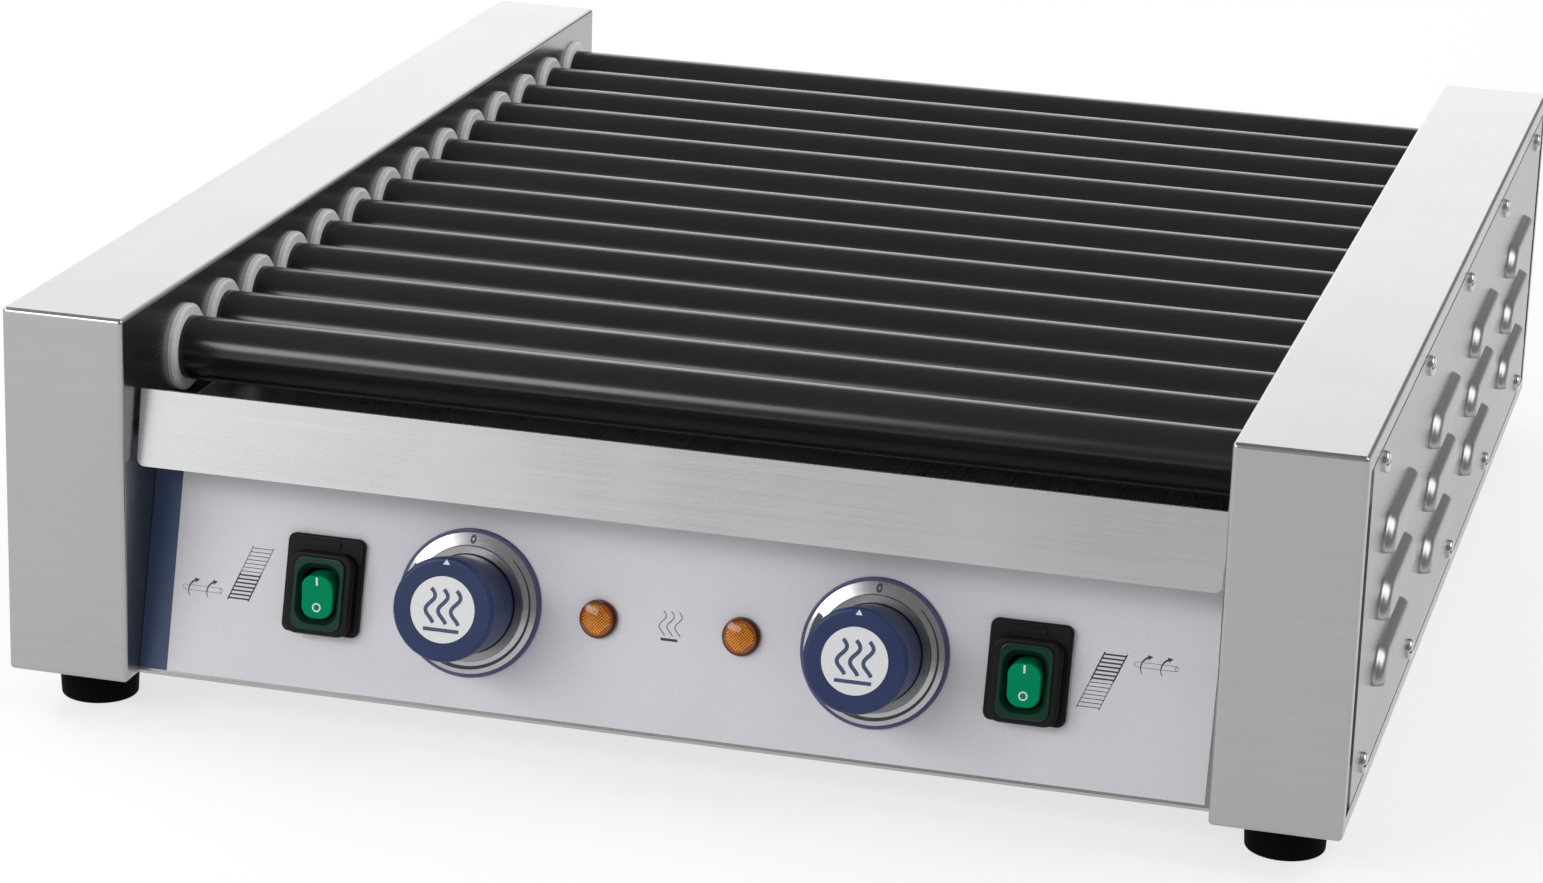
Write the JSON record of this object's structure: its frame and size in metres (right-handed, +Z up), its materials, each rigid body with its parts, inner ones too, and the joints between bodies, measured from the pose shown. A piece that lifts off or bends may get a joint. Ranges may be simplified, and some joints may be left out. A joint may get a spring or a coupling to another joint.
{
  "type": "hot dog roller grill",
  "caption": "Countertop roller grill: heated rollers turn in two zones between louvred steel side housings, over a slide-out drip tray.",
  "frame": {"origin": "on the table, midway between the four feet", "axes": "+X along the rollers towards the drive side (the operator's right), +Y to the back, +Z up"},
  "size_m": [0.5284, 0.604, 0.163],
  "materials": {
    "housing_steel": "fine brushed stainless sheet, grain along each face's length",
    "tray_steel": "brushed stainless sheet, grain along X",
    "inner_steel": "mill-finish stainless sheet",
    "roller_coating": "black non-stick coating, satin",
    "bushing_plastic": "white moulded fluoroplastic",
    "label_film": "fine-textured polyester film, pale lavender grey with a navy band",
    "knob_navy": "satin navy moulding with a white inlay",
    "skirt_navy": "navy moulding",
    "dial_silver": "turned silver ring with a black scale",
    "black_plastic": "fine-textured black moulding",
    "boot_green": "clear-look dark green silicone",
    "rocker_green": "lit translucent green with white marks",
    "lamp_amber": "clear amber lens over a prism pattern",
    "foot_rubber": "matt black rubber",
    "screw_steel": "bright zinc",
    "chain_steel": "oiled steel",
    "element_steel": "heat-tinted stainless tube",
    "motor_paint": "dark grey paint"
  },
  "bodies": {
    "cabinet": {"left_housing": "housing_steel", "right_housing": "housing_steel", "left_side_cover": "housing_steel", "right_side_cover": "housing_steel", "cover_screws": "screw_steel", "front_panel": "inner_steel", "panel_label": "label_film", "rear_panel": "housing_steel", "base_pan": "inner_steel", "feet": "foot_rubber", "foot_screws": "screw_steel", "roller_bushings": "bushing_plastic", "heating_elements": "element_steel", "element_brackets": "inner_steel", "tray_rails": "inner_steel", "gear_motors": "motor_paint", "drive_chains": "chain_steel", "switch_frames": "black_plastic", "switch_boots": "boot_green", "dial_skirts": "skirt_navy", "dial_rings": "dial_silver", "thermostats": "bushing_plastic", "pilot_lamps": "lamp_amber", "cable_gland": "black_plastic", "terminal_block": "bushing_plastic"},
    "drip_tray": {"drip_tray": "tray_steel"},
    "roller_01": {"roller_01": "roller_coating", "roller_sprocket_01": "chain_steel"},
    "roller_02": {"roller_02": "roller_coating", "roller_sprocket_02": "chain_steel"},
    "roller_03": {"roller_03": "roller_coating", "roller_sprocket_03": "chain_steel"},
    "roller_04": {"roller_04": "roller_coating", "roller_sprocket_04": "chain_steel"},
    "roller_05": {"roller_05": "roller_coating", "roller_sprocket_05": "chain_steel"},
    "roller_06": {"roller_06": "roller_coating", "roller_sprocket_06": "chain_steel"},
    "roller_07": {"roller_07": "roller_coating", "roller_sprocket_07": "chain_steel"},
    "roller_08": {"roller_08": "roller_coating", "roller_sprocket_08": "chain_steel"},
    "roller_09": {"roller_09": "roller_coating", "roller_sprocket_09": "chain_steel"},
    "roller_10": {"roller_10": "roller_coating", "roller_sprocket_10": "chain_steel"},
    "roller_11": {"roller_11": "roller_coating", "roller_sprocket_11": "chain_steel"},
    "roller_12": {"roller_12": "roller_coating", "roller_sprocket_12": "chain_steel"},
    "roller_13": {"roller_13": "roller_coating", "roller_sprocket_13": "chain_steel"},
    "roller_14": {"roller_14": "roller_coating", "roller_sprocket_14": "chain_steel"},
    "front_drive": {"front_drive_sprocket": "chain_steel"},
    "rear_drive": {"rear_drive_sprocket": "chain_steel"},
    "left_rocker": {"left_rocker": "rocker_green"},
    "left_knob": {"left_knob": "knob_navy"},
    "right_rocker": {"right_rocker": "rocker_green"},
    "right_knob": {"right_knob": "knob_navy"}
  },
  "joints": [
    {"name": "roller_01_spin", "type": "hinge", "parent": "cabinet", "child": "roller_01", "pos_m": [0, -0.234, 0.136], "axis": [1, 0, 0], "continuous": true, "deforming": ["drive_chains"]},
    {"name": "roller_02_spin", "type": "hinge", "parent": "cabinet", "child": "roller_02", "pos_m": [0, -0.1959, 0.136], "axis": [1, 0, 0], "continuous": true},
    {"name": "roller_03_spin", "type": "hinge", "parent": "cabinet", "child": "roller_03", "pos_m": [0, -0.1578, 0.136], "axis": [1, 0, 0], "continuous": true},
    {"name": "roller_04_spin", "type": "hinge", "parent": "cabinet", "child": "roller_04", "pos_m": [0, -0.1197, 0.136], "axis": [1, 0, 0], "continuous": true},
    {"name": "roller_05_spin", "type": "hinge", "parent": "cabinet", "child": "roller_05", "pos_m": [0, -0.0816, 0.136], "axis": [1, 0, 0], "continuous": true},
    {"name": "roller_06_spin", "type": "hinge", "parent": "cabinet", "child": "roller_06", "pos_m": [0, -0.0435, 0.136], "axis": [1, 0, 0], "continuous": true},
    {"name": "roller_07_spin", "type": "hinge", "parent": "cabinet", "child": "roller_07", "pos_m": [0, -0.0054, 0.136], "axis": [1, 0, 0], "continuous": true},
    {"name": "roller_08_spin", "type": "hinge", "parent": "cabinet", "child": "roller_08", "pos_m": [0, 0.0327, 0.136], "axis": [1, 0, 0], "continuous": true},
    {"name": "roller_09_spin", "type": "hinge", "parent": "cabinet", "child": "roller_09", "pos_m": [0, 0.0708, 0.136], "axis": [1, 0, 0], "continuous": true},
    {"name": "roller_10_spin", "type": "hinge", "parent": "cabinet", "child": "roller_10", "pos_m": [0, 0.1089, 0.136], "axis": [1, 0, 0], "continuous": true},
    {"name": "roller_11_spin", "type": "hinge", "parent": "cabinet", "child": "roller_11", "pos_m": [0, 0.147, 0.136], "axis": [1, 0, 0], "continuous": true},
    {"name": "roller_12_spin", "type": "hinge", "parent": "cabinet", "child": "roller_12", "pos_m": [0, 0.1851, 0.136], "axis": [1, 0, 0], "continuous": true},
    {"name": "roller_13_spin", "type": "hinge", "parent": "cabinet", "child": "roller_13", "pos_m": [0, 0.2232, 0.136], "axis": [1, 0, 0], "continuous": true},
    {"name": "roller_14_spin", "type": "hinge", "parent": "cabinet", "child": "roller_14", "pos_m": [0, 0.2613, 0.136], "axis": [1, 0, 0], "continuous": true},
    {"name": "front_drive_spin", "type": "hinge", "parent": "cabinet", "child": "front_drive", "pos_m": [0.228, -0.1197, 0.07369], "axis": [1, 0, 0], "continuous": true},
    {"name": "rear_drive_spin", "type": "hinge", "parent": "cabinet", "child": "rear_drive", "pos_m": [0.228, 0.147, 0.07369], "axis": [1, 0, 0], "continuous": true},
    {"name": "tray_slide", "type": "slide", "parent": "cabinet", "child": "drip_tray", "axis": [0, -1, 0], "range_m": [0, 0.58]},
    {"name": "left_rocker_tilt", "type": "hinge", "parent": "cabinet", "child": "left_rocker", "pos_m": [-0.138, -0.27518, 0.05668], "axis": [-1, 0, 0], "range_deg": [0, 20]},
    {"name": "left_knob_turn", "type": "hinge", "parent": "cabinet", "child": "left_knob", "pos_m": [-0.0794, -0.2725, 0.05909], "axis": [0, 0.9694, -0.2453], "range_deg": [0, 270]},
    {"name": "right_rocker_tilt", "type": "hinge", "parent": "cabinet", "child": "right_rocker", "pos_m": [0.138, -0.27518, 0.05668], "axis": [-1, 0, 0], "range_deg": [0, 20]},
    {"name": "right_knob_turn", "type": "hinge", "parent": "cabinet", "child": "right_knob", "pos_m": [0.0794, -0.2725, 0.05909], "axis": [0, 0.9694, -0.2453], "range_deg": [0, 270]}
  ],
  "couplings": [
    {"joint": "roller_02_spin", "follows": "roller_01_spin", "ratio": 1},
    {"joint": "roller_03_spin", "follows": "roller_01_spin", "ratio": 1},
    {"joint": "roller_04_spin", "follows": "roller_01_spin", "ratio": 1},
    {"joint": "roller_05_spin", "follows": "roller_01_spin", "ratio": 1},
    {"joint": "roller_06_spin", "follows": "roller_01_spin", "ratio": 1},
    {"joint": "roller_07_spin", "follows": "roller_01_spin", "ratio": 1},
    {"joint": "roller_09_spin", "follows": "roller_08_spin", "ratio": 1},
    {"joint": "roller_10_spin", "follows": "roller_08_spin", "ratio": 1},
    {"joint": "roller_11_spin", "follows": "roller_08_spin", "ratio": 1},
    {"joint": "roller_12_spin", "follows": "roller_08_spin", "ratio": 1},
    {"joint": "roller_13_spin", "follows": "roller_08_spin", "ratio": 1},
    {"joint": "roller_14_spin", "follows": "roller_08_spin", "ratio": 1},
    {"joint": "front_drive_spin", "follows": "roller_01_spin", "ratio": 0.66667},
    {"joint": "rear_drive_spin", "follows": "roller_08_spin", "ratio": 0.66667}
  ]
}
